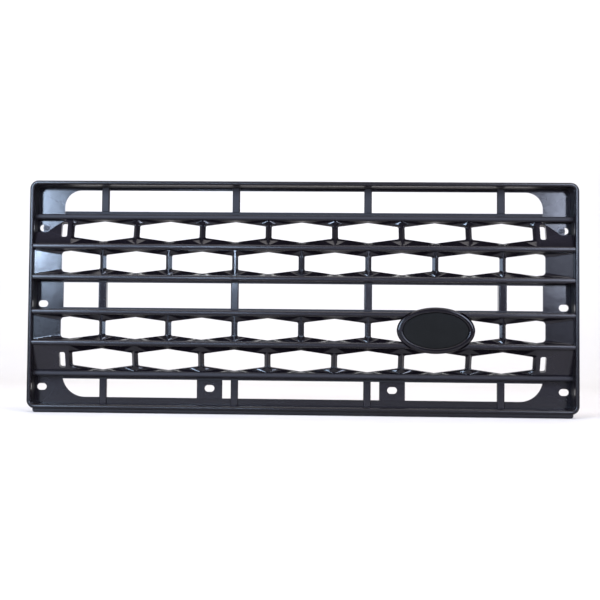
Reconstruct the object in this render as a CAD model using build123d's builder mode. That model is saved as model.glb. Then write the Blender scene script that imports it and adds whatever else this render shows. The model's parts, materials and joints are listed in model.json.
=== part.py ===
"""Front grille of an off-road vehicle, in black moulded plastic.

X runs across the grille, Z is up and the front faces -Y. The origin is the centre of the
grille's box. Heights are given from the rim's centre line, which lies RIM_Z above the origin.
Depths are given from the rim's front, which lies at Y = FRONT_Y.
"""

from build123d import *
import os

# Overall sizes, in millimetres
WIDTH = 870.0
RIM_HEIGHT = 364.0
DEPTH = 38.0
SCREW_TAIL = 4.0
LIP_DROP = 6.0
RIM_Z = LIP_DROP / 2
FRONT_Y = -(DEPTH + SCREW_TAIL) / 2

# Outer surround
RIM_THICK = 6.8
RIM_RADIUS = 13.5
RIM_EDGE_RADIUS = 3.0
RIM_DEEP = 9.0
WALL_THICK = 3.4
LIP_HALF_WIDTH = 426.0
LIP_CORNER_RADIUS = 4.0
LIP_EDGE_RADIUS = 2.4
LIP_SETBACK = 4.0
LIP_DEEP = 20.0

# Rear flange and its window, which is wider behind mesh rows 3, 5 and 6 and has a notch
# behind each end slot of mesh row 2
FLANGE_THICK = 3.0
WINDOW_HALF_WIDTH = 384.9
WINDOW_TOP = 170.6
WINDOW_BOTTOM = -163.8
WINDOW_TOP_RADIUS = 27.0
WINDOW_BOTTOM_RADIUS = 37.0
WIDE_WINDOW_HALF_WIDTH = 391.0
WIDE_WINDOW_ROWS = (3, 5, 6)
NOTCH_HALF_WIDTH = 389.5
NOTCH_TOP = 118.0
NOTCH_BOTTOM = 91.0

# Slats
SLAT_HEIGHT = 8.4
SLAT_DEEP = 22.0
END_SLAT_DEEP = 18.0
SLAT_HEIGHTS = (126.0, 77.0, 27.6, -27.6, -77.0, -126.0)
SLAT_SETBACK = 1.5
END_SLAT_SETBACK = 17.0
SLAT_NOSE_RADIUS = 3.4
SLAT_TONGUE = 3.0

# Strips behind slats 1, 3, 4 and 6 that border the plain rows
TOP_ROW_EDGE = 136.0
MIDDLE_ROW_EDGE = 20.2
LOW_ROW_EDGE = -134.7
END_STRIP_DEPTH = 32.0
MIDDLE_STRIP_DEPTH = 13.0
STRIP_HALF_WIDTH = WINDOW_HALF_WIDTH - 1.0

# Upright ribs in the three plain rows
RIB_WIDTH = 12.0
MIDDLE_RIB_WIDTH = 12.6
RIB_PLACES = (-318.0, -106.0, 106.0, 318.0)
RIB_NOSE_RADIUS = 2.0
TOP_RIB_DEPTH = 30.0
MIDDLE_RIB_DEPTH = 13.0
MIDDLE_RIB_DEEP = 16.0
LOW_RIB_DEPTH = 32.0

# Six-sided mesh: ridges in front, holes behind them, each cell a funnel
PITCH = 106.0
HOLE_HALF_WIDTH = 48.1
INNER_HOLE_SIDE = 11.3
INNER_HOLE_PEAK = 17.5
OUTER_HOLE_SIDE = 11.0
OUTER_HOLE_PEAK = 18.2
HOLE_HEIGHTS = {2: 103.2, 3: 53.0, 5: -52.6, 6: -102.8}
RIDGE_DEPTH = 11.0
FUNNEL_DEEP = 6.0
MESH_THICK = 9.0
END_CELL_X = 385.2
OUTER_NEAR_DEPTH = 8.0
OUTER_FAR_DEPTH = 22.0
RIDGE_HALF = 1.0
EDGE_LAND = 0.6
HOLE_CORNER_RADIUS = 2.5
END_CORNER_RADIUS = 5.5
RIDGE_CORNER_RADIUS = 2.0
END_SLOT_X = 381.3
END_SLOT_WIDTH = 9.3
END_SLOT_LENGTH = 26.0
END_SLOT_RADIUS = 3.0

# The curve that cuts back the end plates of mesh row 2: distances from the middle, heights
CUTAWAY_CURVE = ((379.0, 121.8), (385.0, 117.6), (393.0, 112.6), (401.0, 106.6), (408.0, 100.4))

# Mounting slots
SLOT_LENGTH = 15.6
SLOT_WIDTH = 10.8
SIDE_SLOT_X = 417.5
SIDE_SLOT_HEIGHTS = (109.0, -14.0, -148.0)
BRACKET_X = 146.0
BRACKET_HALF_WIDTH = 20.5

# Badge
BADGE_X = 212.0
BADGE_HEIGHT = -52.5
BACK_WIDTH = 118.0
BACK_HEIGHT = 69.0
CREST_WIDTH = 124.4
CREST_HEIGHT = 74.6
CREST_DEPTH = 2.0
CREST_RADIUS = 4.2
RECESS_EDGE_RADIUS = 1.8
RECESS_WIDTH = 104.0
RECESS_HEIGHT = 57.0
RECESS_DEEP = 6.5
BOSS_BACK = 24.0
BOSS_FLOOR = 2.5
BOSS_WALL = 3.0
PLATE_THICK = 2.2
PLATE_GAP = 0.3
PLATE_EDGE_RADIUS = 0.8
PAD_THICK = 0.8
PAD_INSET = 3.0

# Fixings in the two top side slots
SCREW_X = 413.4
SCREW_RADIUS = 2.4
SCREW_TIP_CHAMFER = 0.8
SCREW_HEAD_RADIUS = 4.2
SCREW_HEAD_THICK = 2.6
SCREW_HEAD_ROUND = 1.0
CROSS_LENGTH = 4.6
CROSS_WIDTH = 1.1
CROSS_DEEP = 1.4
WASHER_RADIUS = 6.2
WASHER_THICK = 1.0
HOLE_CLEARANCE = 0.05
NUT_THICK = 1.2
NUT_WIDTH = 12.4
NUT_HEIGHT = 16.0
NUT_CORNER_RADIUS = 2.0

# How near an edge's place must be to the one looked for
EDGE_MATCH = 0.1

HALF_WIDTH = WIDTH / 2
HALF_RIM = RIM_HEIGHT / 2
INNER_X = HALF_WIDTH - RIM_THICK
INNER_Z = HALF_RIM - RIM_THICK
FLANGE_DEPTH = DEPTH - FLANGE_THICK
SLAT_HALF = SLAT_HEIGHT / 2


def at_depth(depth, x=0.0, height=0.0):
    """An upright plane at a depth behind the rim's front; extruding goes forward."""
    return Plane(
        origin=(x, FRONT_Y + depth, RIM_Z + height),
        x_dir=(1, 0, 0),
        z_dir=(0, -1, 0),
    )


def finish(part, name):
    """Names one finished piece and writes its file."""
    part.label = name
    export_step(part, f"parts/{name}.step")


def make_surround():
    """Rounded rim bead, the four walls behind it, and the lip under the bottom wall."""
    wall_x = INNER_X + WALL_THICK
    wall_z = INNER_Z + WALL_THICK
    with BuildPart() as surround:
        with BuildSketch(at_depth(RIM_DEEP)):
            RectangleRounded(WIDTH, RIM_HEIGHT, RIM_RADIUS)
            RectangleRounded(2 * INNER_X, 2 * INNER_Z, RIM_RADIUS - RIM_THICK, mode=Mode.SUBTRACT)
        extrude(amount=RIM_DEEP)
        front_edges = surround.edges().group_by(Axis.Y)[0]
        fillet(front_edges, RIM_EDGE_RADIUS)
        with BuildSketch(at_depth(DEPTH)):
            RectangleRounded(2 * wall_x, 2 * wall_z, RIM_RADIUS - RIM_THICK + WALL_THICK)
            RectangleRounded(2 * INNER_X, 2 * INNER_Z, RIM_RADIUS - RIM_THICK, mode=Mode.SUBTRACT)
        extrude(amount=DEPTH - RIM_DEEP)
        with BuildSketch(at_depth(LIP_SETBACK + LIP_DEEP)) as lip:
            with Locations((0, -INNER_Z - (RIM_THICK + LIP_DROP) / 2)):
                Rectangle(2 * LIP_HALF_WIDTH, RIM_THICK + LIP_DROP)
            fillet(lip.vertices().group_by(Axis.Y)[0], LIP_CORNER_RADIUS)
        extrude(amount=LIP_DEEP)
        lip_edges = surround.edges().group_by(Axis.Z)[0].filter_by(Axis.X)
        fillet(lip_edges, LIP_EDGE_RADIUS)
        for height in SLAT_HEIGHTS[1:-1]:
            for start in (-INNER_X - SLAT_TONGUE, INNER_X):
                tongue = slat_section(start, height, SLAT_SETBACK, RIM_DEEP - SLAT_SETBACK)
                extrude(tongue, amount=SLAT_TONGUE, mode=Mode.SUBTRACT)
    finish(surround.part, "surround")


def make_rear_frame():
    """Flat flange around the rear window, with the slots along both sides."""
    window_height = WINDOW_TOP - WINDOW_BOTTOM
    window_middle = (WINDOW_TOP + WINDOW_BOTTOM) / 2
    with BuildPart() as rear_frame:
        with BuildSketch(at_depth(DEPTH)):
            RectangleRounded(2 * INNER_X, 2 * INNER_Z, RIM_RADIUS - RIM_THICK)
            with Locations((0, window_middle)):
                Rectangle(2 * WINDOW_HALF_WIDTH, window_height, mode=Mode.SUBTRACT)
            for side in (-1, 1):
                for height in SIDE_SLOT_HEIGHTS:
                    with Locations((side * SIDE_SLOT_X, height)):
                        SlotOverall(SLOT_LENGTH, SLOT_WIDTH, mode=Mode.SUBTRACT)
        extrude(amount=FLANGE_THICK)
        window_edges = [
            edge
            for edge in rear_frame.edges().filter_by(Axis.Y)
            if abs(abs(edge.center().X) - WINDOW_HALF_WIDTH) < EDGE_MATCH
        ]
        top_edges = [edge for edge in window_edges if edge.center().Z > 0]
        bottom_edges = [edge for edge in window_edges if edge.center().Z < 0]
        fillet(top_edges, WINDOW_TOP_RADIUS)
        fillet(bottom_edges, WINDOW_BOTTOM_RADIUS)
        with BuildSketch(at_depth(DEPTH)) as wider_parts:
            for row_number in WIDE_WINDOW_ROWS:
                high = SLAT_HEIGHTS[row_number - 2]
                low = SLAT_HEIGHTS[row_number - 1]
                with Locations((0, (high + low) / 2)):
                    Rectangle(2 * WIDE_WINDOW_HALF_WIDTH, high - low)
            with Locations((0, (NOTCH_TOP + NOTCH_BOTTOM) / 2)):
                Rectangle(2 * NOTCH_HALF_WIDTH, NOTCH_TOP - NOTCH_BOTTOM)
        extrude(wider_parts.sketch, amount=FLANGE_THICK, mode=Mode.SUBTRACT)
    finish(rear_frame.part, "rear_frame")


def boss_outline(mode):
    """The oval body of the badge boss, widening from its back to its crest."""
    with BuildSketch(at_depth(BOSS_BACK, BADGE_X, BADGE_HEIGHT)) as back:
        Ellipse(BACK_WIDTH / 2, BACK_HEIGHT / 2)
    with BuildSketch(at_depth(CREST_DEPTH, BADGE_X, BADGE_HEIGHT)) as crest:
        Ellipse(CREST_WIDTH / 2, CREST_HEIGHT / 2)
    loft([back.sketch, crest.sketch], mode=mode)


def cut_for_boss():
    """Clears a piece out of the way of the badge boss and of the space before it."""
    boss_outline(Mode.SUBTRACT)
    with BuildSketch(at_depth(CREST_DEPTH, BADGE_X, BADGE_HEIGHT)) as crest:
        Ellipse(CREST_WIDTH / 2, CREST_HEIGHT / 2)
    extrude(crest.sketch, amount=CREST_DEPTH, mode=Mode.SUBTRACT)


def slat_section(x, height, setback, deep):
    """A slat's cross-section, with a rounded nose, on the plane at x."""
    front = FRONT_Y + setback
    with BuildSketch(Plane.YZ.offset(x)) as section:
        with Locations((front + deep / 2, RIM_Z + height)):
            Rectangle(deep, SLAT_HEIGHT)
        fillet(section.vertices().group_by(Axis.X)[0], SLAT_NOSE_RADIUS)
    return section.sketch


def strip_section(x, low, high, front_depth, back_depth):
    """The cross-section of a strip that borders a plain row, on the plane at x."""
    with BuildSketch(Plane.YZ.offset(x)) as section:
        with Locations((FRONT_Y + (front_depth + back_depth) / 2, RIM_Z + (low + high) / 2)):
            Rectangle(back_depth - front_depth, high - low)
    return section.sketch


def make_slat(number):
    """One horizontal slat; the badge boss interrupts slats 4 and 5."""
    height = SLAT_HEIGHTS[number - 1]
    is_end = number in (1, 6)
    setback = END_SLAT_SETBACK if is_end else SLAT_SETBACK
    deep = END_SLAT_DEEP if is_end else SLAT_DEEP
    top, bottom = height + SLAT_HALF, height - SLAT_HALF
    strip_edges = {
        1: (top, TOP_ROW_EDGE, END_STRIP_DEPTH, DEPTH),
        3: (MIDDLE_ROW_EDGE, bottom, MIDDLE_STRIP_DEPTH, SLAT_SETBACK + SLAT_DEEP),
        4: (top, -MIDDLE_ROW_EDGE, MIDDLE_STRIP_DEPTH, SLAT_SETBACK + SLAT_DEEP),
        6: (LOW_ROW_EDGE, bottom, END_STRIP_DEPTH, DEPTH),
    }
    with BuildPart() as slat:
        extrude(slat_section(-INNER_X, height, setback, deep), amount=2 * INNER_X)
        if not is_end:
            for start in (-INNER_X - SLAT_TONGUE, INNER_X):
                tongue = slat_section(start, height, setback, RIM_DEEP - setback)
                extrude(tongue, amount=SLAT_TONGUE)
        if number in strip_edges:
            strip = strip_section(-STRIP_HALF_WIDTH, *strip_edges[number])
            extrude(strip, amount=2 * STRIP_HALF_WIDTH)
        if number in (4, 5):
            cut_for_boss()
    finish(slat.part, f"slat_{number}")


def make_rib(name, x, width, heights, depths, reach=0.0):
    """One upright rib; reach lengthens its part before the flange, up (+) or down (-)."""
    low, high = heights
    front_depth, back_depth = depths
    with BuildPart() as rib:
        with BuildSketch(at_depth(back_depth, x)):
            with Locations((0, (low + high) / 2)):
                Rectangle(width, high - low)
        extrude(amount=back_depth - front_depth)
        if reach:
            start = high if reach > 0 else low
            with BuildSketch(at_depth(FLANGE_DEPTH, x)):
                with Locations((0, start + reach / 2)):
                    Rectangle(width, abs(reach))
            extrude(amount=FLANGE_DEPTH - front_depth)
        fillet(rib.edges().filter_by(Axis.Z).group_by(Axis.Y)[0], RIB_NOSE_RADIUS)
    finish(rib.part, name)


def make_ribs():
    """Four ribs in each of the three plain rows."""
    top_heights = (TOP_ROW_EDGE, WINDOW_TOP)
    middle_heights = (-MIDDLE_ROW_EDGE, MIDDLE_ROW_EDGE)
    low_heights = (WINDOW_BOTTOM, LOW_ROW_EDGE)
    middle_depths = (MIDDLE_RIB_DEPTH, MIDDLE_RIB_DEPTH + MIDDLE_RIB_DEEP)
    top_reach = INNER_Z - WINDOW_TOP
    low_reach = -INNER_Z - WINDOW_BOTTOM
    for index, x in enumerate(RIB_PLACES, start=1):
        make_rib(f"rib_top_{index}", x, RIB_WIDTH, top_heights, (TOP_RIB_DEPTH, DEPTH), top_reach)
        make_rib(f"rib_mid_{index}", x, MIDDLE_RIB_WIDTH, middle_heights, middle_depths)
        make_rib(f"rib_low_{index}", x, RIB_WIDTH, low_heights, (LOW_RIB_DEPTH, DEPTH), low_reach)


def make_bracket(name, x):
    """A lower mounting plate with one slot, between slat 6 and the bottom flange."""
    with BuildPart() as bracket:
        with BuildSketch(at_depth(DEPTH)):
            with Locations((x, (WINDOW_BOTTOM + LOW_ROW_EDGE) / 2)):
                Rectangle(2 * BRACKET_HALF_WIDTH, LOW_ROW_EDGE - WINDOW_BOTTOM)
            with Locations((x, SIDE_SLOT_HEIGHTS[-1])):
                SlotOverall(SLOT_LENGTH, SLOT_WIDTH, mode=Mode.SUBTRACT)
        extrude(amount=FLANGE_THICK)
    finish(bracket.part, name)


def cell_outline(plane, places, halves, radii):
    """A six-point outline from its left, middle and right places and half heights there."""
    left, middle, right = places
    with BuildSketch(plane) as outline:
        with BuildLine():
            Polyline(
                (left, -halves[0]),
                (middle, -halves[1]),
                (right, -halves[2]),
                (right, halves[2]),
                (middle, halves[1]),
                (left, halves[0]),
                close=True,
            )
        make_face()
        fillet(outline.vertices().group_by(Axis.X)[0], radii[0])
        fillet(outline.vertices().group_by(Axis.X)[-1], radii[1])
    return outline.sketch


def full_cells(middles):
    """Places, mouth edges and corner radii of the whole cells centred on the middles."""
    reach = PITCH / 2 - RIDGE_HALF
    radii = (HOLE_CORNER_RADIUS, HOLE_CORNER_RADIUS)
    cells = []
    for middle in middles:
        places = (middle - HOLE_HALF_WIDTH, middle, middle + HOLE_HALF_WIDTH)
        cells.append((places, (middle - reach, middle + reach), radii))
    return cells


def end_cells():
    """The cells cut off by the end plates of an inner row: the right one and its mirror."""
    middle = 3.5 * PITCH
    places = (middle - HOLE_HALF_WIDTH, middle, END_CELL_X)
    mouth_edges = (3 * PITCH + RIDGE_HALF, INNER_X - EDGE_LAND)
    right = (places, mouth_edges, (HOLE_CORNER_RADIUS, END_CORNER_RADIUS))
    left_places = tuple(-place for place in reversed(places))
    left_mouth_edges = (-mouth_edges[1], -mouth_edges[0])
    left = (left_places, left_mouth_edges, (END_CORNER_RADIUS, HOLE_CORNER_RADIUS))
    return [left, right]


def outer_row_cells():
    """Rows 2 and 6: seven whole cells."""
    return full_cells([PITCH * n for n in range(-3, 4)])


def inner_row_cells():
    """Rows 3 and 5: six whole cells and one cut off by each sloping end plate."""
    return full_cells([PITCH * (n + 0.5) for n in range(-3, 3)]) + end_cells()


def half_height_at(x, first_peak, side, peak):
    """Half the height of the six-sided holes at x, where peaks stand a pitch apart."""
    nearest = round((abs(x) - first_peak) / PITCH) * PITCH + first_peak
    away = min(abs(abs(x) - nearest), HOLE_HALF_WIDTH)
    return peak - (peak - side) * away / HOLE_HALF_WIDTH


def cut_end_plates(edge_height):
    """Cuts the upper outer corner off both end plates of mesh row 2, along a curve."""
    for turn in (-1, 1):
        curve = [(turn * x, height) for x, height in CUTAWAY_CURVE]
        last_height = curve[-1][1]
        with BuildSketch(at_depth(DEPTH)) as corner:
            with BuildLine():
                Spline(*curve)
                Polyline(
                    curve[-1],
                    (turn * INNER_X, last_height),
                    (turn * INNER_X, edge_height),
                    curve[0],
                )
            make_face()
        extrude(corner.sketch, amount=DEPTH, mode=Mode.SUBTRACT)


def cut_end_slots(plane):
    """Cuts the narrow slot at each end of an outer mesh row, square to the plane."""
    with BuildSketch(plane) as slots:
        with Locations((-END_SLOT_X, 0), (END_SLOT_X, 0)):
            RectangleRounded(END_SLOT_WIDTH, END_SLOT_LENGTH, END_SLOT_RADIUS)
    extrude(slots.sketch, amount=2 * MESH_THICK, both=True, mode=Mode.SUBTRACT)


def make_mesh_row(number):
    """One row of funnel-shaped six-sided openings between two slats, with its end plates."""
    upper_slat = number - 1
    high = SLAT_HEIGHTS[upper_slat - 1] - SLAT_HALF
    low = SLAT_HEIGHTS[upper_slat] + SLAT_HALF
    if number in (2, 6):
        cells, first_peak = outer_row_cells(), 0.0
        side, peak = OUTER_HOLE_SIDE, OUTER_HOLE_PEAK
        depths = (OUTER_NEAR_DEPTH, OUTER_FAR_DEPTH)
    else:
        cells, first_peak = inner_row_cells(), PITCH / 2
        side, peak = INNER_HOLE_SIDE, INNER_HOLE_PEAK
        depths = (RIDGE_DEPTH, RIDGE_DEPTH)
    low_depth, high_depth = depths if number < 4 else reversed(depths)
    slope = (high_depth - low_depth) / (high - low)
    hole_height = HOLE_HEIGHTS[number]
    middle_height = (high + low) / 2
    middle_depth = (high_depth + low_depth) / 2
    mouth_half = (high - low) / 2 * (1 + slope**2) ** 0.5 - EDGE_LAND
    ridge_plane = Plane(
        origin=(0, FRONT_Y + middle_depth, RIM_Z + middle_height),
        x_dir=(1, 0, 0),
        z_dir=(0, -1, slope),
    )
    hole_depth = low_depth + slope * (hole_height - low) + FUNNEL_DEEP
    hole_plane = Plane(
        origin=(0, FRONT_Y + hole_depth, RIM_Z + hole_height),
        x_dir=(1, 0, 0),
        z_dir=(0, -1, slope),
    )
    with BuildPart() as mesh_row:
        with BuildSketch(Plane.YZ.offset(-INNER_X)):
            with BuildLine():
                Polyline(
                    (FRONT_Y + low_depth, RIM_Z + low),
                    (FRONT_Y + high_depth, RIM_Z + high),
                    (FRONT_Y + high_depth + MESH_THICK, RIM_Z + high),
                    (FRONT_Y + low_depth + MESH_THICK, RIM_Z + low),
                    close=True,
                )
            make_face()
        extrude(amount=2 * INNER_X)
        for places, mouth_edges, radii in cells:
            halves = [half_height_at(x, first_peak, side, peak) for x in places]
            mouth_places = (mouth_edges[0], places[1], mouth_edges[1])
            mouth_radii = (RIDGE_CORNER_RADIUS, RIDGE_CORNER_RADIUS)
            mouth = cell_outline(ridge_plane, mouth_places, 3 * (mouth_half,), mouth_radii)
            hole = cell_outline(hole_plane, places, halves, radii)
            loft([mouth, hole], ruled=True, mode=Mode.SUBTRACT)
            extrude(hole, amount=-MESH_THICK, mode=Mode.SUBTRACT)
        if number in (2, 6):
            cut_end_slots(hole_plane)
        if number == 2:
            cut_end_plates(high)
        if number > 4:
            cut_for_boss()
    finish(mesh_row.part, f"mesh_row_{number}")


def make_badge():
    """The oval boss with its recess, the adhesive pad in it, and the blank badge plate."""
    floor_depth = CREST_DEPTH + RECESS_DEEP
    with BuildPart() as badge_boss:
        boss_outline(Mode.ADD)
        with BuildSketch(at_depth(floor_depth, BADGE_X, BADGE_HEIGHT)):
            Ellipse(RECESS_WIDTH / 2, RECESS_HEIGHT / 2)
        extrude(amount=RECESS_DEEP, mode=Mode.SUBTRACT)
        with BuildSketch(at_depth(BOSS_BACK, BADGE_X, BADGE_HEIGHT)):
            Ellipse(BACK_WIDTH / 2 - BOSS_WALL, BACK_HEIGHT / 2 - BOSS_WALL)
        extrude(amount=BOSS_BACK - floor_depth - BOSS_FLOOR, mode=Mode.SUBTRACT)
        recess_edge, crest_edge = badge_boss.edges().group_by(Axis.Y)[0].sort_by(Edge.length)
        fillet(crest_edge, CREST_RADIUS)
        fillet(recess_edge, RECESS_EDGE_RADIUS)
    finish(badge_boss.part, "badge_boss")

    with BuildPart() as badge_pad:
        with BuildSketch(at_depth(floor_depth, BADGE_X, BADGE_HEIGHT)):
            Ellipse(RECESS_WIDTH / 2 - PAD_INSET, RECESS_HEIGHT / 2 - PAD_INSET)
        extrude(amount=PAD_THICK)
    finish(badge_pad.part, "badge_pad")

    with BuildPart() as badge_plate:
        with BuildSketch(at_depth(floor_depth - PAD_THICK, BADGE_X, BADGE_HEIGHT)):
            Ellipse(RECESS_WIDTH / 2 - PLATE_GAP, RECESS_HEIGHT / 2 - PLATE_GAP)
        extrude(amount=PLATE_THICK)
        fillet(badge_plate.edges().group_by(Axis.Y)[0], PLATE_EDGE_RADIUS)
    finish(badge_plate.part, "badge_plate")


def make_fixing(side_name, x):
    """A screw with its captive washer, and the spring nut behind the flange."""
    height = SIDE_SLOT_HEIGHTS[0]
    washer_front = FLANGE_DEPTH - WASHER_THICK
    head_front = washer_front - SCREW_HEAD_THICK
    with BuildPart() as screw:
        with BuildSketch(at_depth(washer_front, x, height)):
            Circle(SCREW_HEAD_RADIUS)
        extrude(amount=SCREW_HEAD_THICK)
        fillet(screw.edges().group_by(Axis.Y)[0], SCREW_HEAD_ROUND)
        with BuildSketch(at_depth(head_front, x, height)):
            Rectangle(CROSS_LENGTH, CROSS_WIDTH)
            Rectangle(CROSS_WIDTH, CROSS_LENGTH)
        extrude(amount=-CROSS_DEEP, mode=Mode.SUBTRACT)
        with BuildSketch(at_depth(DEPTH + SCREW_TAIL, x, height)):
            Circle(SCREW_RADIUS)
        extrude(amount=DEPTH + SCREW_TAIL - washer_front)
        chamfer(screw.edges().group_by(Axis.Y)[-1], SCREW_TIP_CHAMFER)
    finish(screw.part, f"screw_{side_name}")

    with BuildPart() as washer:
        with BuildSketch(at_depth(FLANGE_DEPTH, x, height)):
            Circle(WASHER_RADIUS)
            Circle(SCREW_RADIUS + HOLE_CLEARANCE, mode=Mode.SUBTRACT)
        extrude(amount=WASHER_THICK)
    finish(washer.part, f"washer_{side_name}")

    with BuildPart() as spring_nut:
        with BuildSketch(at_depth(DEPTH + NUT_THICK, x, height)):
            RectangleRounded(NUT_WIDTH, NUT_HEIGHT, NUT_CORNER_RADIUS)
            Circle(SCREW_RADIUS + HOLE_CLEARANCE, mode=Mode.SUBTRACT)
        extrude(amount=NUT_THICK)
    finish(spring_nut.part, f"spring_nut_{side_name}")


os.makedirs("parts", exist_ok=True)
make_surround()
make_rear_frame()
for slat_number in range(1, 7):
    make_slat(slat_number)
make_ribs()
make_bracket("bracket_left", -BRACKET_X)
make_bracket("bracket_right", BRACKET_X)
for row_number in HOLE_HEIGHTS:
    make_mesh_row(row_number)
make_badge()
make_fixing("left", -SCREW_X)
make_fixing("right", SCREW_X)
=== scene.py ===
"""Looks of the black moulded front grille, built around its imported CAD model."""

import json
import math

import bpy
from mathutils import Matrix, Vector


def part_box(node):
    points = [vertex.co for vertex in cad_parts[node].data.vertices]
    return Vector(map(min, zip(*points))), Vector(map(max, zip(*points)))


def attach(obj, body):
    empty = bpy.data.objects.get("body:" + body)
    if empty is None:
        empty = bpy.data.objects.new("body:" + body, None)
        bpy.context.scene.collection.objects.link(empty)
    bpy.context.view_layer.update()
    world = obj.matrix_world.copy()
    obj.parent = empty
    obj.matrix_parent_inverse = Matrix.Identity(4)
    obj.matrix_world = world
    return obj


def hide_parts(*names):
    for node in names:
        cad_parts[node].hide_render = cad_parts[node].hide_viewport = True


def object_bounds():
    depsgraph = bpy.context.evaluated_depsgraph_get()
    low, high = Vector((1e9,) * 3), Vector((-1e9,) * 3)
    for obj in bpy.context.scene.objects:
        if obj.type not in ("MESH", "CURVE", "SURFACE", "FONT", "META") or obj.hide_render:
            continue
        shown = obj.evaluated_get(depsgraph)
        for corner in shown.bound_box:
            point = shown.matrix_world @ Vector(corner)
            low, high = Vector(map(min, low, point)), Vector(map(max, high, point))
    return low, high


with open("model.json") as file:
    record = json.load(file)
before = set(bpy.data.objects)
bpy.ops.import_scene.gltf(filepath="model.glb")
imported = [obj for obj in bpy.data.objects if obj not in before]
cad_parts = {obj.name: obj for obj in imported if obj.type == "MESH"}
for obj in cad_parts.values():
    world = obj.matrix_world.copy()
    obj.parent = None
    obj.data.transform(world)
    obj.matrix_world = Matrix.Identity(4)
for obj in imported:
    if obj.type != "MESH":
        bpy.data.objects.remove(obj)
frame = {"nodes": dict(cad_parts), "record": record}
cad_low, cad_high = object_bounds()

# Camera: distances in metres, angles in radians, the lens's shift in picture widths
VIEW_DISTANCE = 1.897
VIEW_X = -0.0012
VIEW_Z = -0.0902
VIEW_YAW = -0.0421
VIEW_PITCH = 0.0454
VIEW_ROLL = 0.0105
SHIFT_X = 0.0835
LENS_MM = 72.162
SENSOR_MM = 36.0
CLIP_END = 50.0

# Nodes whose black plastic is rougher than the rest: the grained ones much, the mesh a little
GRAINED_NODES = ("surround", "slat_", "rib_top_")
MESH_NODES = ("mesh_row_",)

# Moulded plastic: noise scales per metre, bump strengths, and bump depths in metres
FLOW_SCALE = 9.0
FLOW_STRETCH = (0.4, 1.0, 1.6)
PATCH_SCALE = 26.0
RIPPLE_SCALE = 70.0
RIPPLE_STRENGTH = 0.10
RIPPLE_DEPTH = 0.0006
GRAIN_SCALE = 2600.0
GRAIN_STRENGTH = 0.09
GRAIN_DEPTH = 0.00012
SMOOTHER = 0.03
ROUGHER = 0.05

# Worn edges: the pointiness where the wear starts and is full, and how much paler it is
WEAR_START = 0.52
WEAR_FULL = 0.62
WEAR_GAIN = 1.6
WEAR_LIFT = 0.003

# Steel, foam and floor: noise scales per metre, bump strengths, and bump depths in metres
STEEL_PATCH_SCALE = 420.0
STEEL_FINISH_SCALE = 900.0
STEEL_SMOOTHER = 0.06
STEEL_ROUGHER = 0.1
SCRATCH_STRETCH = (1.0, 1.0, 6.0)
SCRATCH_STRENGTH = 0.2
SCRATCH_DEPTH = 0.00005
FINE_SCRATCHES = 1500.0
COARSE_SCRATCHES = 900.0
CELL_SCALE = 1800.0
CELL_STRENGTH = 0.5
CELL_DEPTH = 0.0002
SPECKLE_SCALE = 3.0

# How far behind the grille's front the grained plastic starts and ends turning matt, in metres
MATT_START = 0.008
MATT_END = 0.012

# Fixings: lengths in metres, angles in degrees, and counts, shares and exponents
TURN_STEPS = 64
HEAD_THICK = 0.0026
HEAD_DOME = 0.0006
HEAD_RINGS = 14
HEAD_EDGE = 0.0002
HEAD_CROWN = 0.96
HEAD_SHOULDER = 1.5
HEAD_SMOOTH_ANGLE = 35.0
CROSS_REACH = 0.0023
CROSS_HALF = 0.00055
CROSS_DEEP = 0.0014
CROSS_RUN_OUT = 0.6
THREAD_ROOT = 0.0018
THREAD_CREST = 0.0024
THREAD_PITCH = 0.0014
THREAD_STEP = 0.00018
TIP_LENGTH = 0.0012
TIP_SHARE = 0.55
WASHER_HOLE = 0.00245
WASHER_EDGE = 0.00025
WASHER_SMOOTH_ANGLE = 50.0
NUT_SHEET = 0.0006
NUT_RELIEF = 0.0024
NUT_RINGS = 8
NUT_SQUARENESS = 6.0
NUT_PRONG_SHARPNESS = 24
NUT_SMOOTH_ANGLE = 40.0

# Floor and the wall it curves up into, in metres
FLOOR_HALF = 6.0
FLOOR_NEAR = -1.5
WALL_Y = 3.0
WALL_HEIGHT = 5.0
BEND_RADIUS = 1.2
BEND_STEPS = 12
FLOOR_Z = cad_low[2]
FRONT_Y = cad_low[1]

# Where the soft boxes in front of the grille stand, in metres
FRONT_LIGHT_Y = -2.4


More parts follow.
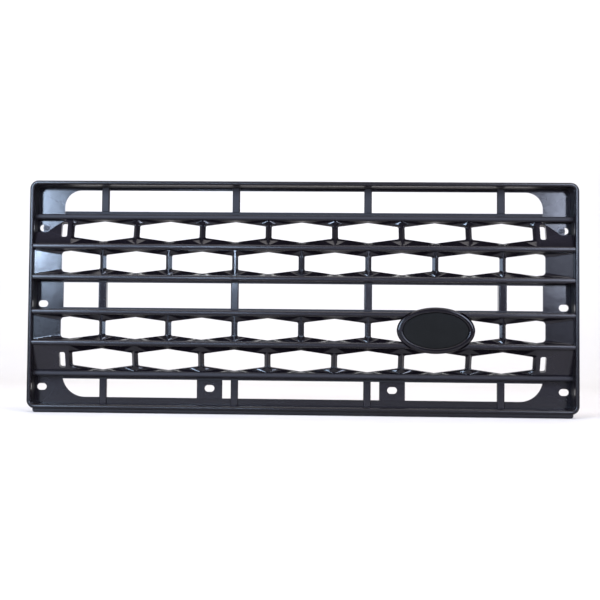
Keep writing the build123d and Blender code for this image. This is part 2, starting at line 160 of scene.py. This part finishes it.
class NodeTree:
    """Short calls for building one material's nodes."""

    def __init__(self, name):
        self.material = bpy.data.materials.new(name)
        self.material.use_nodes = True
        self.tree = self.material.node_tree
        self.shader = self.tree.nodes["Principled BSDF"]

    def add(self, kind, **values):
        node = self.tree.nodes.new(kind)
        for key, value in values.items():
            if key in node.inputs:
                node.inputs[key].default_value = value
            else:
                setattr(node, key, value)
        return node

    def link(self, source, target):
        self.tree.links.new(source, target)

    def noise(self, scale, detail=2.0, roughness=0.5, stretch=None):
        """Noise laid out in the object's own metres."""
        coordinates = self.add("ShaderNodeTexCoord").outputs["Object"]
        if stretch:
            mapping = self.add("ShaderNodeMapping")
            mapping.inputs["Scale"].default_value = stretch
            self.link(coordinates, mapping.inputs["Vector"])
            coordinates = mapping.outputs["Vector"]
        node = self.add("ShaderNodeTexNoise")
        node.inputs["Scale"].default_value = scale
        node.inputs["Detail"].default_value = detail
        node.inputs["Roughness"].default_value = roughness
        self.link(coordinates, node.inputs["Vector"])
        return node.outputs["Fac"]

    def ramp(self, source, stops):
        node = self.add("ShaderNodeValToRGB")
        elements = node.color_ramp.elements
        while len(elements) < len(stops):
            elements.new(0.5)
        for element, (place, colour) in zip(elements, stops):
            element.position = place
            element.color = (*colour, 1.0)
        self.link(source, node.inputs["Fac"])
        return node.outputs["Color"]

    def spread(self, source, low, high):
        node = self.add("ShaderNodeMapRange")
        node.inputs["To Min"].default_value = low
        node.inputs["To Max"].default_value = high
        self.link(source, node.inputs["Value"])
        return node.outputs["Result"]

    def total(self, first, second):
        node = self.add("ShaderNodeMath", operation="ADD", use_clamp=True)
        self.link(first, node.inputs[0])
        self.link(second, node.inputs[1])
        return node.outputs["Value"]

    def deeper(self, amount):
        """Nothing at the grille's front, rising to the amount a little way behind it."""
        split = self.add("ShaderNodeSeparateXYZ")
        self.link(self.add("ShaderNodeTexCoord").outputs["Object"], split.inputs["Vector"])
        node = self.add("ShaderNodeMapRange")
        node.inputs["From Min"].default_value = FRONT_Y + MATT_START
        node.inputs["From Max"].default_value = FRONT_Y + MATT_END
        node.inputs["To Max"].default_value = amount
        self.link(split.outputs["Y"], node.inputs["Value"])
        return node.outputs["Result"]

    def mix(self, factor, first, second):
        node = self.add("ShaderNodeMix", data_type="RGBA")
        self.link(factor, node.inputs[0])
        for slot, value in ((6, first), (7, second)):
            if isinstance(value, tuple):
                node.inputs[slot].default_value = (*value, 1.0)
            else:
                self.link(value, node.inputs[slot])
        return node.outputs[2]

    def bump(self, *layers):
        """Bump from (height, strength, distance) layers, each on top of the one before."""
        normal = None
        for height, strength, distance in layers:
            node = self.add("ShaderNodeBump")
            node.inputs["Strength"].default_value = strength
            node.inputs["Distance"].default_value = distance
            self.link(height, node.inputs["Height"])
            if normal is not None:
                self.link(normal, node.inputs["Normal"])
            normal = node.outputs["Normal"]
        self.link(normal, self.shader.inputs["Normal"])

    def edge_mask(self, low, high):
        """Brighter where the surface turns over an edge."""
        pointiness = self.add("ShaderNodeNewGeometry").outputs["Pointiness"]
        node = self.add("ShaderNodeMapRange")
        node.inputs["From Min"].default_value = low
        node.inputs["From Max"].default_value = high
        self.link(pointiness, node.inputs["Value"])
        return node.outputs["Result"]


def moulded_plastic(name, dark, light, roughness, grain=1.0, specular=0.28, deep=0.0):
    """Satin black plastic: fine moulded grain, faint flow marks, paler scuffed edges."""
    tree = NodeTree(name)
    flow = tree.noise(FLOW_SCALE, 4.0, 0.6, stretch=FLOW_STRETCH)
    colour = tree.ramp(flow, [(0.3, dark), (0.7, light)])
    edges = tree.edge_mask(WEAR_START, WEAR_FULL)
    worn = tree.mix(edges, colour, tuple(c * WEAR_GAIN + WEAR_LIFT for c in light))
    tree.link(worn, tree.shader.inputs["Base Color"])
    patches = tree.noise(PATCH_SCALE, 3.0, 0.55)
    finish = tree.spread(patches, roughness - SMOOTHER, roughness + ROUGHER)
    if deep:
        finish = tree.total(finish, tree.deeper(deep))
    tree.link(finish, tree.shader.inputs["Roughness"])
    tree.shader.inputs["Specular IOR Level"].default_value = specular
    fine = tree.noise(GRAIN_SCALE, 2.0, 0.6)
    ripple = tree.noise(RIPPLE_SCALE, 2.0, 0.5)
    tree.bump(
        (ripple, RIPPLE_STRENGTH, RIPPLE_DEPTH),
        (fine, GRAIN_STRENGTH * grain, GRAIN_DEPTH),
    )
    return tree.material


def metal(name, dark, light, roughness, scratch_scale):
    """Plated steel: bright and dull patches with fine turned scratches."""
    tree = NodeTree(name)
    patches = tree.noise(STEEL_PATCH_SCALE, 4.0, 0.6)
    colour = tree.ramp(patches, [(0.3, dark), (0.7, light)])
    tree.link(colour, tree.shader.inputs["Base Color"])
    tree.shader.inputs["Metallic"].default_value = 1.0
    finish = tree.noise(STEEL_FINISH_SCALE)
    tree.link(
        tree.spread(finish, roughness - STEEL_SMOOTHER, roughness + STEEL_ROUGHER),
        tree.shader.inputs["Roughness"],
    )
    scratches = tree.noise(scratch_scale, 2.0, 0.6, stretch=SCRATCH_STRETCH)
    tree.bump((scratches, SCRATCH_STRENGTH, SCRATCH_DEPTH))
    return tree.material


def foam(name):
    """Dark closed-cell foam of the adhesive pad."""
    tree = NodeTree(name)
    cells = tree.noise(CELL_SCALE, 3.0, 0.7)
    colour = tree.ramp(cells, [(0.35, (0.012, 0.012, 0.012)), (0.65, (0.04, 0.04, 0.04))])
    tree.link(colour, tree.shader.inputs["Base Color"])
    tree.link(tree.spread(cells, 0.75, 0.95), tree.shader.inputs["Roughness"])
    tree.bump((cells, CELL_STRENGTH, CELL_DEPTH))
    return tree.material


def make_materials():
    """The finishes: one for each material slot, and two more grades of the black plastic."""
    black, black_light = (0.0025, 0.0017, 0.0028), (0.0038, 0.0028, 0.0042)
    return {
        "moulded_plastic": moulded_plastic("Moulded plastic", black, black_light, 0.12),
        "grained": moulded_plastic(
            "Grained plastic", black, black_light, 0.22, grain=1.5, specular=0.27, deep=0.35
        ),
        "mesh": moulded_plastic("Mesh plastic", black, black_light, 0.14),
        "badge_plastic": moulded_plastic(
            "Badge plastic",
            (0.0034, 0.0034, 0.0030),
            (0.0048, 0.0048, 0.0043),
            0.22,
            grain=0.5,
            specular=0.12,
        ),
        "adhesive_foam": foam("Adhesive foam"),
        "screw_steel": metal(
            "Screw steel", (0.052, 0.050, 0.053), (0.092, 0.090, 0.094), 0.5, FINE_SCRATCHES
        ),
        "washer_steel": metal(
            "Washer steel", (0.10, 0.098, 0.102), (0.16, 0.157, 0.162), 0.42, FINE_SCRATCHES
        ),
        "spring_steel": metal(
            "Spring steel", (0.06, 0.06, 0.065), (0.12, 0.12, 0.125), 0.5, COARSE_SCRATCHES
        ),
    }


def dress_nodes(materials):
    """Gives every CAD node its material."""
    for subpart in frame["record"]["subparts"]:
        name = subpart["node"]
        finish = subpart["material_slot"]
        if name.startswith(GRAINED_NODES):
            finish = "grained"
        elif name.startswith(MESH_NODES):
            finish = "mesh"
        data = frame["nodes"][name].data
        data.materials.clear()
        data.materials.append(materials[finish])


def turned_mesh(name, centre, stations, closed):
    """A solid turned about a line along Y: each station gives a depth and a radius by angle."""
    vertices = []
    for station in stations:
        for step in range(TURN_STEPS):
            angle = step / TURN_STEPS * math.tau
            depth, radius = station(angle)
            vertices.append(
                (
                    centre[0] + radius * math.cos(angle),
                    centre[1] + depth,
                    centre[2] + radius * math.sin(angle),
                )
            )
    count = len(stations)
    faces = []
    for ring in range(count if closed else count - 1):
        here, after = ring * TURN_STEPS, (ring + 1) % count * TURN_STEPS
        for step in range(TURN_STEPS):
            turn = (step + 1) % TURN_STEPS
            faces.append((here + step, after + step, after + turn, here + turn))
    if not closed:
        faces.append(tuple(range(TURN_STEPS)))
        faces.append(tuple(reversed(range((count - 1) * TURN_STEPS, count * TURN_STEPS))))
    mesh = bpy.data.meshes.new(name)
    mesh.from_pydata(vertices, [], faces)
    mesh.validate()
    piece = bpy.data.objects.new(name, mesh)
    bpy.context.scene.collection.objects.link(piece)
    return piece


def place_piece(piece, node, material, body, smooth_angle):
    """Puts a detailed piece in the place of its CAD node, with that node's finish and body."""
    for polygon in piece.data.polygons:
        polygon.use_smooth = True
    piece.data.set_sharp_from_angle(angle=math.radians(smooth_angle))
    piece.data.materials.append(material)
    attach(piece, body)
    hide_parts(node)


def cross_sink(radius, angle):
    """How far the cross recess goes into the screw's head at a point."""
    across, along = sorted((abs(radius * math.cos(angle)), abs(radius * math.sin(angle))))
    if along > CROSS_REACH or across > CROSS_HALF:
        return 0.0
    return CROSS_DEEP * (1.0 - CROSS_RUN_OUT * along / CROSS_REACH)


def make_screw(side, material):
    """Pan-head screw with a cross recess and a coarse thread."""
    node = f"screw_{side}"
    low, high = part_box(node)
    centre = ((low.x + high.x) / 2, low.y, (low.z + high.z) / 2)
    length = high.y - low.y
    head_radius = (high.x - low.x) / 2

    def head_top(radius):
        rise = HEAD_DOME * (radius / head_radius) ** 4
        return lambda angle: (rise + cross_sink(radius, angle), radius)

    def plain(depth, radius):
        return lambda angle: (depth, radius)

    def threaded(depth, scale):
        def station(angle):
            phase = (depth / THREAD_PITCH - angle / math.tau) % 1.0
            crest = max(0.0, 1.0 - abs(phase - 0.5) * 4.0)
            return depth, scale * (THREAD_ROOT + (THREAD_CREST - THREAD_ROOT) * crest)

        return station

    crown = head_radius * HEAD_CROWN
    stations = [head_top(crown * n / HEAD_RINGS) for n in range(1, HEAD_RINGS + 1)]
    stations.append(plain(HEAD_DOME * HEAD_SHOULDER, head_radius))
    stations.append(plain(HEAD_THICK - HEAD_EDGE, head_radius))
    stations.append(plain(HEAD_THICK, head_radius - HEAD_EDGE))
    stations.append(plain(HEAD_THICK, THREAD_ROOT))
    rings = round((length - HEAD_THICK) / THREAD_STEP)
    for n in range(1, rings + 1):
        depth = HEAD_THICK + (length - HEAD_THICK) * n / rings
        left = (length - depth) / TIP_LENGTH
        stations.append(threaded(depth, min(1.0, TIP_SHARE + (1.0 - TIP_SHARE) * left)))
    piece = turned_mesh(f"detailed_{node}", centre, stations, closed=False)
    place_piece(piece, node, material, f"{node}_body", HEAD_SMOOTH_ANGLE)


def make_washer(side, material):
    """Flat washer with its edges broken."""
    node = f"washer_{side}"
    low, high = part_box(node)
    centre = ((low.x + high.x) / 2, low.y, (low.z + high.z) / 2)
    thick = high.y - low.y
    outer = (high.x - low.x) / 2
    edge = WASHER_EDGE
    profile = [
        (0.0, WASHER_HOLE + edge),
        (0.0, outer - 2 * edge),
        (edge * 0.6, outer - edge * 0.6),
        (2 * edge, outer),
        (thick - edge, outer),
        (thick, outer - edge),
        (thick, WASHER_HOLE + edge),
        (thick - edge, WASHER_HOLE),
        (edge, WASHER_HOLE),
    ]
    stations = [lambda angle, point=point: point for point in profile]
    piece = turned_mesh(f"detailed_{node}", centre, stations, closed=True)
    body = f"screw_{side}_body"
    place_piece(piece, node, material, body, WASHER_SMOOTH_ANGLE)


def make_spring_nut(side, material):
    """Arched sheet-metal nut with two prongs that bite on the screw."""
    node = f"spring_nut_{side}"
    low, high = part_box(node)
    centre = ((low.x + high.x) / 2, low.y, (low.z + high.z) / 2)
    half_x, half_z = (high.x - low.x) / 2, (high.z - low.z) / 2
    arch = high.y - low.y - NUT_SHEET

    def edge_radius(angle):
        across = abs(math.cos(angle) / half_x) ** NUT_SQUARENESS
        along = abs(math.sin(angle) / half_z) ** NUT_SQUARENESS
        return (across + along) ** (-1.0 / NUT_SQUARENESS)

    def hole_radius(angle):
        return WASHER_HOLE + NUT_RELIEF * abs(math.sin(angle)) ** NUT_PRONG_SHARPNESS

    def sheet(fraction, lift):
        def station(angle):
            inner, outer = hole_radius(angle), edge_radius(angle)
            radius = inner + (outer - inner) * fraction
            level = 1.0 - (radius * math.cos(angle) / half_x) ** 2
            return arch * level + lift, radius

        return station

    fractions = [n / NUT_RINGS for n in range(NUT_RINGS + 1)]
    stations = [sheet(fraction, 0.0) for fraction in fractions]
    stations += [sheet(fraction, NUT_SHEET) for fraction in reversed(fractions)]
    piece = turned_mesh(f"detailed_{node}", centre, stations, closed=True)
    place_piece(piece, node, material, "grille", NUT_SMOOTH_ANGLE)


def floor_material():
    tree = NodeTree("Pale floor")
    speckle = tree.noise(SPECKLE_SCALE, 4.0, 0.6)
    colour = tree.ramp(speckle, [(0.3, (0.63, 0.60, 0.57)), (0.7, (0.65, 0.62, 0.59))])
    tree.link(colour, tree.shader.inputs["Base Color"])
    tree.link(tree.spread(speckle, 0.75, 0.85), tree.shader.inputs["Roughness"])
    return tree.material


def make_floor():
    """One pale sweep: flat under the grille, curving up into a wall far behind it."""
    bend_y = WALL_Y - BEND_RADIUS
    profile = [(FLOOR_NEAR, 0.0), (bend_y, 0.0)]
    for step in range(1, BEND_STEPS + 1):
        turn = step / BEND_STEPS * math.pi / 2
        along = bend_y + BEND_RADIUS * math.sin(turn)
        profile.append((along, BEND_RADIUS - BEND_RADIUS * math.cos(turn)))
    profile.append((WALL_Y, WALL_HEIGHT))
    points = [(x, y, FLOOR_Z + z) for y, z in profile for x in (-FLOOR_HALF, FLOOR_HALF)]
    faces = [(2 * i, 2 * i + 1, 2 * i + 3, 2 * i + 2) for i in range(len(profile) - 1)]
    mesh = bpy.data.meshes.new("floor")
    mesh.from_pydata(points, [], faces)
    for polygon in mesh.polygons:
        polygon.use_smooth = True
    floor = bpy.data.objects.new("floor", mesh)
    bpy.context.scene.collection.objects.link(floor)
    mesh.materials.append(floor_material())


def add_light(name, place, target, size, radiance, colour=(1, 1, 1)):
    """One soft rectangular light aimed at a point, as bright per area as radiance says."""
    data = bpy.data.lights.new(name, "AREA")
    data.shape = "RECTANGLE"
    data.size, data.size_y = size
    data.energy = radiance * math.pi * size[0] * size[1]
    data.color = colour
    light = bpy.data.objects.new(name, data)
    light.location = place
    aim = Vector(target) - Vector(place)
    light.rotation_euler = aim.to_track_quat("-Z", "Y").to_euler()
    bpy.context.scene.collection.objects.link(light)


def add_front_light(name, x, z, size, radiance, colour):
    """A soft box in front of the grille, facing straight back."""
    add_light(name, (x, FRONT_LIGHT_Y, z), (x, 0, z), size, radiance, colour)


def make_lights():
    """A white studio: soft boxes in front, past each end and overhead, and a lit backdrop."""
    world = bpy.data.worlds.new("Studio")
    bpy.context.scene.world = world
    world.use_nodes = True
    background = world.node_tree.nodes["Background"]
    background.inputs["Color"].default_value = (0.93, 0.90, 1.0, 1.0)
    background.inputs["Strength"].default_value = 0.25
    sky = (0.58, 0.74, 1.0)
    haze = (0.70, 0.78, 1.0)
    add_front_light("Box left", -1.22, 0.82, (0.64, 1.36), 47.0, sky)
    add_front_light("Box right", 1.22, 0.84, (0.64, 1.40), 26.0, haze)
    add_front_light("Core left", -0.31, 0.30, (0.14, 0.12), 215.0, sky)
    add_front_light("Core right", 0.26, 0.28, (0.16, 0.15), 12.0, haze)
    add_front_light("Low left", -0.27, 0.02, (0.18, 0.07), 16.0, sky)
    add_front_light("Low right", 0.27, 0.02, (0.18, 0.07), 7.0, haze)
    add_light("Rim left", (-2.5, 0.74, 0.22), (0.26, 0, 0.05), (0.30, 0.50), 11.0, sky)
    add_light("Rim right", (2.5, 0.70, 0.22), (-0.32, 0, 0.05), (0.24, 0.50), 14.0, sky)
    add_light("Overhead", (0.0, -0.6, 1.9), (0, -0.6, 0), (3.0, 1.4), 4.0, (1.0, 0.96, 0.97))
    add_light("Backdrop", (0.0, 1.2, 2.2), (0, 3.0, 0.2), (4.0, 0.8), 6.9)


def make_camera():
    """A fixed camera in front of the grille, turned as the object is seen."""
    data = bpy.data.cameras.new("Camera")
    data.sensor_width = SENSOR_MM
    data.lens = LENS_MM
    data.shift_x = SHIFT_X
    data.clip_end = CLIP_END
    camera = bpy.data.objects.new("Camera", data)
    forward = Vector(
        (
            math.sin(VIEW_YAW) * math.cos(VIEW_PITCH),
            math.cos(VIEW_YAW) * math.cos(VIEW_PITCH),
            math.sin(VIEW_PITCH),
        )
    )
    level = Vector((math.cos(VIEW_YAW), -math.sin(VIEW_YAW), 0.0))
    upright = level.cross(forward)
    right = level * math.cos(VIEW_ROLL) + upright * math.sin(VIEW_ROLL)
    up = upright * math.cos(VIEW_ROLL) - level * math.sin(VIEW_ROLL)
    turn = Matrix((right, up, -forward)).transposed().to_4x4()
    place = Vector((VIEW_X, FRONT_Y - VIEW_DISTANCE, VIEW_Z))
    camera.matrix_world = Matrix.Translation(place) @ turn
    bpy.context.scene.collection.objects.link(camera)
    bpy.context.scene.camera = camera


bpy.context.scene.view_settings.view_transform = "Standard"
finishes = make_materials()
dress_nodes(finishes)
for side_name in ("left", "right"):
    make_screw(side_name, finishes["screw_steel"])
    make_washer(side_name, finishes["washer_steel"])
    make_spring_nut(side_name, finishes["spring_steel"])
make_floor()
make_lights()
make_camera()
